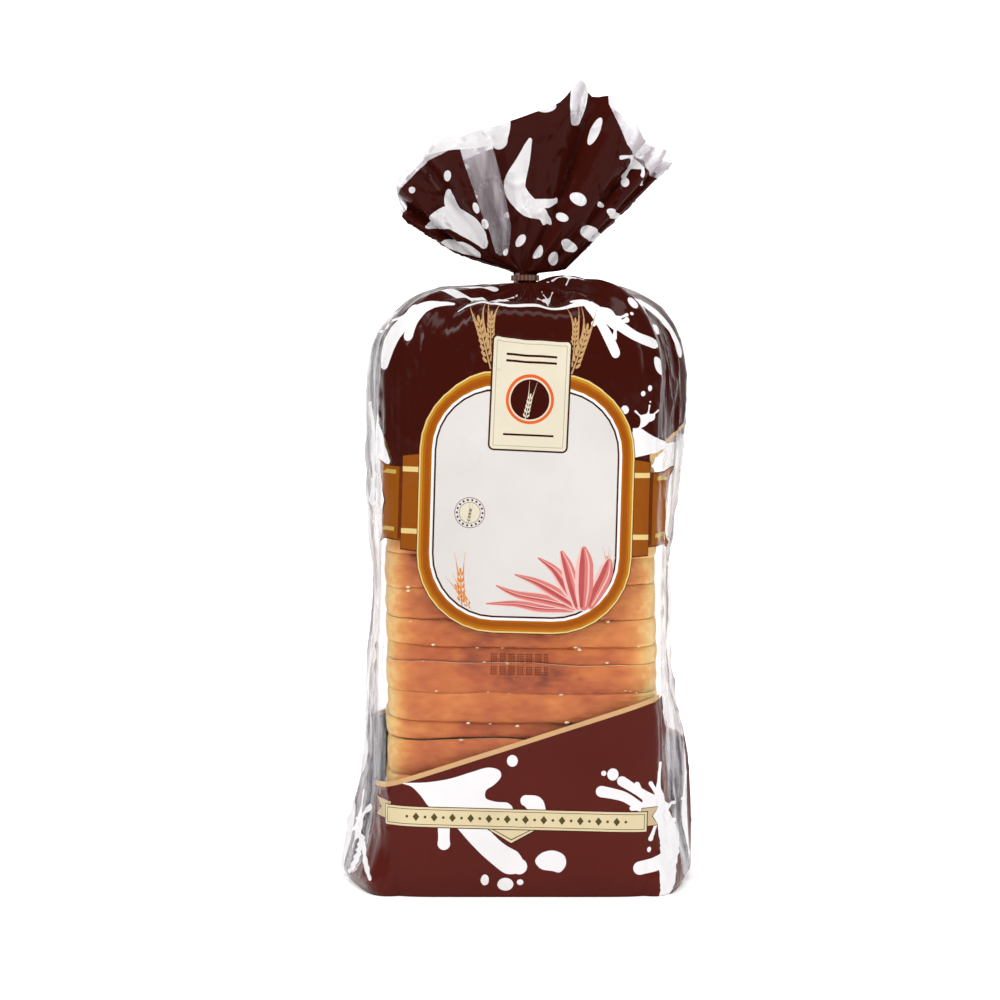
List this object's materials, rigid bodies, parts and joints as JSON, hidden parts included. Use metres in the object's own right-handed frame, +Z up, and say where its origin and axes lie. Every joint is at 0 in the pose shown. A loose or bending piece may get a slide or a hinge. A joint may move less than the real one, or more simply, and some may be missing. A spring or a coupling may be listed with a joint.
{
  "type": "sliced loaf in a bread bag",
  "caption": "Sliced sandwich loaf standing on end in a printed clear film bag, gathered at the neck with a twist tie and fanned out above it.",
  "frame": {"origin": "middle of the flat base, which is the bottom end of the standing loaf", "axes": "+Z up along the loaf, -Y towards the printed front, +X to the front's right"},
  "size_m": [0.1598, 0.112, 0.3598],
  "materials": {
    "printed_film": "glossy film with dark brown, white, gold and cream inks",
    "clear_film": "clear glossy film",
    "bread": "soft baked crust with pale crumb",
    "twist_tie": "satin paper over a thin wire"
  },
  "bodies": {
    "root": {"bag": "printed_film", "twist_tie": "twist_tie"}
  },
  "joints": []
}
